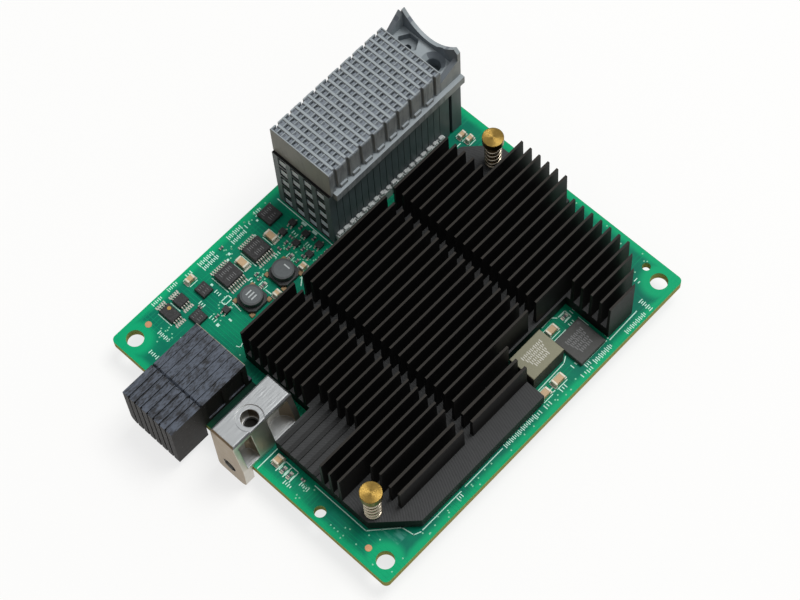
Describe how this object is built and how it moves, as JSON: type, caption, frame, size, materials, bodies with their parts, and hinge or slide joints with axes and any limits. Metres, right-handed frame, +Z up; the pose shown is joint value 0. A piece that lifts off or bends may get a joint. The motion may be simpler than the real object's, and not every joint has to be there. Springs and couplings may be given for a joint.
{
  "type": "blade server expansion card",
  "caption": "Green circuit card with a black finned heat sink on brass spring pins, a tall grey stacked connector, a black edge connector and a cast guide block.",
  "frame": {"origin": "midway between the two front mounting holes, on the board's underside", "axes": "+X right along the front edge, +Y to the rear, +Z up to the component side"},
  "size_m": [0.08, 0.1, 0.0373],
  "materials": {
    "board": "green solder mask over glass-fibre laminate",
    "heat_sink": "black anodised, milled",
    "thermal_pad": "soft grey pad",
    "chip": "moulded epoxy package",
    "pin_brass": "turned",
    "spring_steel": "bright spring wire",
    "tall_connector": "moulded, light bluish grey",
    "tall_wafer": "moulded, dark grey",
    "edge_connector": "moulded, charcoal",
    "guide_block": "nickel-plated casting",
    "screw_steel": "zinc plated",
    "ferrite_dark": "coated ferrite",
    "ferrite_taupe": "pressed powder, taupe",
    "terminal": "tinned",
    "capacitor": "fired ceramic, tan, tinned ends"
  },
  "bodies": {
    "root": {"circuit_board": "board", "heat_sink": "heat_sink", "thermal_pad": "thermal_pad", "controller_chip": "chip", "spring_pin_front": "pin_brass", "pin_spring_front": "spring_steel", "spring_pin_rear": "pin_brass", "pin_spring_rear": "spring_steel", "tall_connector_cap": "tall_connector", "tall_connector_wafer_01": "tall_wafer", "tall_connector_wafer_02": "tall_wafer", "tall_connector_wafer_03": "tall_wafer", "tall_connector_wafer_04": "tall_wafer", "tall_connector_wafer_05": "tall_wafer", "tall_connector_wafer_06": "tall_wafer", "tall_connector_wafer_07": "tall_wafer", "tall_connector_wafer_08": "tall_wafer", "tall_connector_wafer_09": "tall_wafer", "tall_connector_wafer_10": "tall_wafer", "tall_connector_wafer_11": "tall_wafer", "tall_connector_wafer_12": "tall_wafer", "tall_connector_wafer_13": "tall_wafer", "tall_connector_wafer_14": "tall_wafer", "tall_connector_wafer_15": "tall_wafer", "tall_connector_wafer_16": "tall_wafer", "tall_connector_wafer_17": "tall_wafer", "tall_connector_wafer_18": "tall_wafer", "tall_connector_end_post": "tall_wafer", "tall_connector_foot_strip": "tall_connector", "edge_connector_shroud": "edge_connector", "edge_connector_wafer_1": "edge_connector", "edge_connector_wafer_2": "edge_connector", "edge_connector_wafer_3": "edge_connector", "edge_connector_wafer_4": "edge_connector", "edge_connector_wafer_5": "edge_connector", "edge_connector_wafer_6": "edge_connector", "edge_connector_wafer_7": "edge_connector", "edge_connector_wafer_8": "edge_connector", "guide_block": "guide_block", "guide_block_screw": "screw_steel", "power_chip_front": "chip", "round_inductor_front": "ferrite_dark", "power_chip_rear": "chip", "round_inductor_rear": "ferrite_dark", "lead_chip_1": "chip", "lead_chip_2": "chip", "flat_chip_1": "chip", "flat_chip_2": "chip", "flat_chip_3": "chip", "transistors": "chip", "memory_chip": "chip", "block_inductor": "ferrite_taupe", "block_inductor_terminals": "terminal", "capacitors": "capacitor", "resistors": "chip"}
  },
  "joints": []
}
